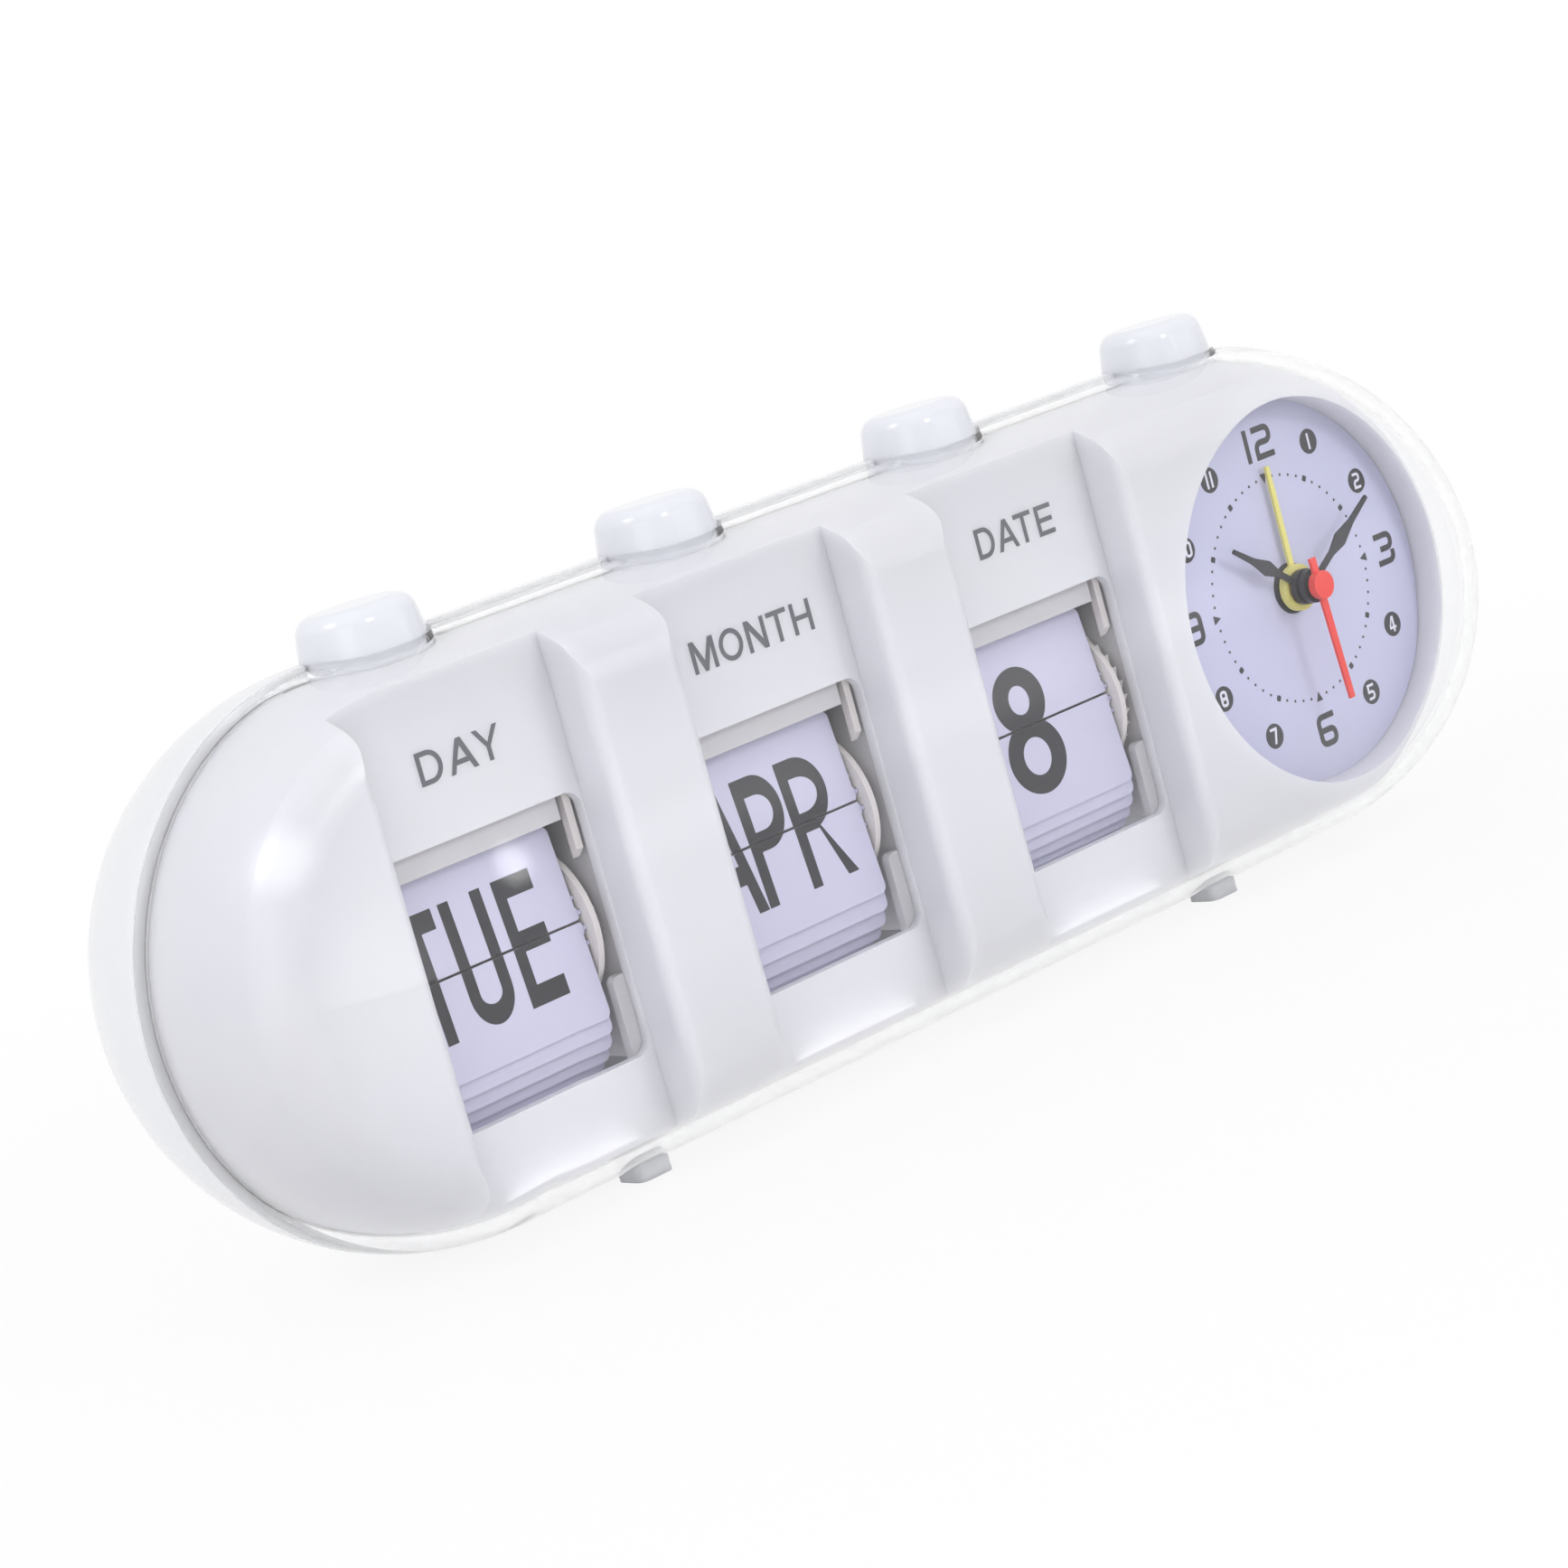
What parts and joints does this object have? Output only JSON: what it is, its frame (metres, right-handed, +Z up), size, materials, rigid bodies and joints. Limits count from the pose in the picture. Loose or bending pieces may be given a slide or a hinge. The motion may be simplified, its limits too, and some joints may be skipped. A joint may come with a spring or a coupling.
{
  "type": "flip calendar clock",
  "caption": "lying capsule desk clock with a clear front cover, leaf units for day, month and date worked by push buttons on top, and a hand dial with alarm at one end",
  "frame": {"origin": "on the table under the middle of the capsule", "axes": "+X along the capsule to the dial end, -Y towards the reader, +Z up"},
  "size_m": [0.205, 0.066, 0.0716],
  "materials": {
    "cover": "clear polished acrylic",
    "shell": "glossy white plastic",
    "frame": "glossy white plastic",
    "button": "glossy white plastic",
    "mechanism": "plain off-white moulded plastic",
    "leaf": "matt pale lavender leaves",
    "dial": "matt pale lavender print ground",
    "movement": "black moulded plastic",
    "knob": "dark grey moulded plastic",
    "hand_black": "matt black paint",
    "hand_yellow": "matt yellow paint",
    "hand_red": "matt red paint",
    "steel": "plain steel",
    "brass": "plain brass",
    "cell": "plain grey jacket"
  },
  "bodies": {
    "case": {"front_cover": "cover", "rear_shell": "shell", "window_frame": "frame", "feet": "shell", "case_screws": "steel", "bracket_screws": "steel", "dial": "dial", "movement_case": "movement", "buzzer": "brass", "battery_cell": "cell", "battery_spring": "steel", "battery_plate": "steel", "day_bracket": "mechanism", "day_axle": "steel", "day_click": "steel", "day_spring": "steel", "month_bracket": "mechanism", "month_axle": "steel", "month_click": "steel", "month_spring": "steel", "date_bracket": "mechanism", "date_axle": "steel", "date_click": "steel", "date_spring": "steel", "alarm_spring": "steel"},
    "day_button": {"day_button": "button", "day_pawl": "mechanism"},
    "month_button": {"month_button": "button", "month_pawl": "mechanism"},
    "date_button": {"date_button": "button", "date_pawl": "mechanism"},
    "alarm_button": {"alarm_button": "button"},
    "day_drum": {"day_drum": "mechanism", "day_ratchet": "mechanism", "day_leaf_set": "leaf"},
    "day_flip_leaf": {"day_flip_leaf": "leaf"},
    "month_drum": {"month_drum": "mechanism", "month_ratchet": "mechanism", "month_leaf_set": "leaf"},
    "month_flip_leaf": {"month_flip_leaf": "leaf"},
    "date_drum": {"date_drum": "mechanism", "date_ratchet": "mechanism", "date_leaf_set": "leaf"},
    "date_flip_leaf": {"date_flip_leaf": "leaf"},
    "time_knob": {"time_knob": "knob"},
    "alarm_knob": {"alarm_knob": "knob"},
    "minute_hand": {"minute_hand": "hand_black", "minute_tube": "brass"},
    "hour_hand": {"hour_hand": "hand_black", "hour_tube": "brass"},
    "second_hand": {"second_hand": "hand_red", "second_arbor": "steel"},
    "alarm_hand": {"alarm_hand": "hand_yellow", "alarm_tube": "brass"},
    "battery_lid": {"battery_lid": "shell"}
  },
  "joints": [
    {"name": "day_press", "type": "slide", "parent": "case", "child": "day_button", "axis": [0, 0, -1], "range_m": [0, 0.003], "stiffness_N_per_m": 200, "springref_m": -0.004, "deforming": ["day_spring"]},
    {"name": "month_press", "type": "slide", "parent": "case", "child": "month_button", "axis": [0, 0, -1], "range_m": [0, 0.003], "stiffness_N_per_m": 200, "springref_m": -0.004, "deforming": ["month_spring"]},
    {"name": "date_press", "type": "slide", "parent": "case", "child": "date_button", "axis": [0, 0, -1], "range_m": [0, 0.003], "stiffness_N_per_m": 200, "springref_m": -0.004, "deforming": ["date_spring"]},
    {"name": "alarm_press", "type": "slide", "parent": "case", "child": "alarm_button", "axis": [0, 0, -1], "range_m": [0, 0.003], "stiffness_N_per_m": 200, "springref_m": -0.004, "deforming": ["alarm_spring"]},
    {"name": "day_drum_turn", "type": "hinge", "parent": "case", "child": "day_drum", "pos_m": [-0.062, 0, 0.0297], "axis": [1, 0, 0], "range_deg": [-0.05, 12.91]},
    {"name": "day_leaf_flip", "type": "hinge", "parent": "day_drum", "child": "day_flip_leaf", "pos_m": [-0.062, -0.00778, 0.03156], "axis": [1, 0, 0], "range_deg": [-0.1, 164.24]},
    {"name": "month_drum_turn", "type": "hinge", "parent": "case", "child": "month_drum", "pos_m": [-0.0185, 0, 0.0297], "axis": [1, 0, 0], "range_deg": [-0.05, 15.05]},
    {"name": "month_leaf_flip", "type": "hinge", "parent": "month_drum", "child": "month_flip_leaf", "pos_m": [-0.0185, -0.00775, 0.0317], "axis": [1, 0, 0], "range_deg": [-0.1, 162.1]},
    {"name": "date_drum_turn", "type": "hinge", "parent": "case", "child": "date_drum", "pos_m": [0.025, 0, 0.0297], "axis": [1, 0, 0], "range_deg": [-0.05, 11.66]},
    {"name": "date_leaf_flip", "type": "hinge", "parent": "date_drum", "child": "date_flip_leaf", "pos_m": [0.025, -0.0078, 0.03147], "axis": [1, 0, 0], "range_deg": [-0.1, 165.49]},
    {"name": "time_knob_turn", "type": "hinge", "parent": "case", "child": "time_knob", "pos_m": [0.061, 0.02, 0.0415], "axis": [0, 1, 0], "continuous": true},
    {"name": "alarm_knob_turn", "type": "hinge", "parent": "case", "child": "alarm_knob", "pos_m": [0.078, 0.02, 0.0415], "axis": [0, 1, 0], "continuous": true},
    {"name": "minute_hand_turn", "type": "hinge", "parent": "case", "child": "minute_hand", "pos_m": [0.0695, -0.013, 0.0345], "axis": [0, 1, 0], "continuous": true},
    {"name": "hour_hand_turn", "type": "hinge", "parent": "case", "child": "hour_hand", "pos_m": [0.0695, -0.013, 0.0345], "axis": [0, 1, 0], "continuous": true},
    {"name": "alarm_hand_turn", "type": "hinge", "parent": "case", "child": "alarm_hand", "pos_m": [0.0695, -0.013, 0.0345], "axis": [0, 1, 0], "continuous": true},
    {"name": "second_hand_turn", "type": "hinge", "parent": "case", "child": "second_hand", "pos_m": [0.0695, -0.013, 0.0345], "axis": [0, 1, 0], "continuous": true},
    {"name": "battery_lid_pull", "type": "slide", "parent": "case", "child": "battery_lid", "axis": [0, 1, 0], "range_m": [0, 0.02]}
  ],
  "couplings": [
    {"joint": "day_drum_turn", "follows": "day_press", "rad_per_m": 74.8},
    {"joint": "day_leaf_flip", "follows": "day_press", "rad_per_m": 954.94},
    {"joint": "month_drum_turn", "follows": "month_press", "rad_per_m": 87.266},
    {"joint": "month_leaf_flip", "follows": "month_press", "rad_per_m": 942.48},
    {"joint": "date_drum_turn", "follows": "date_press", "rad_per_m": 67.561},
    {"joint": "date_leaf_flip", "follows": "date_press", "rad_per_m": 962.18},
    {"joint": "minute_hand_turn", "follows": "time_knob_turn", "ratio": -0.33333},
    {"joint": "hour_hand_turn", "follows": "time_knob_turn", "ratio": -0.027778},
    {"joint": "alarm_hand_turn", "follows": "alarm_knob_turn", "ratio": -0.25}
  ]
}
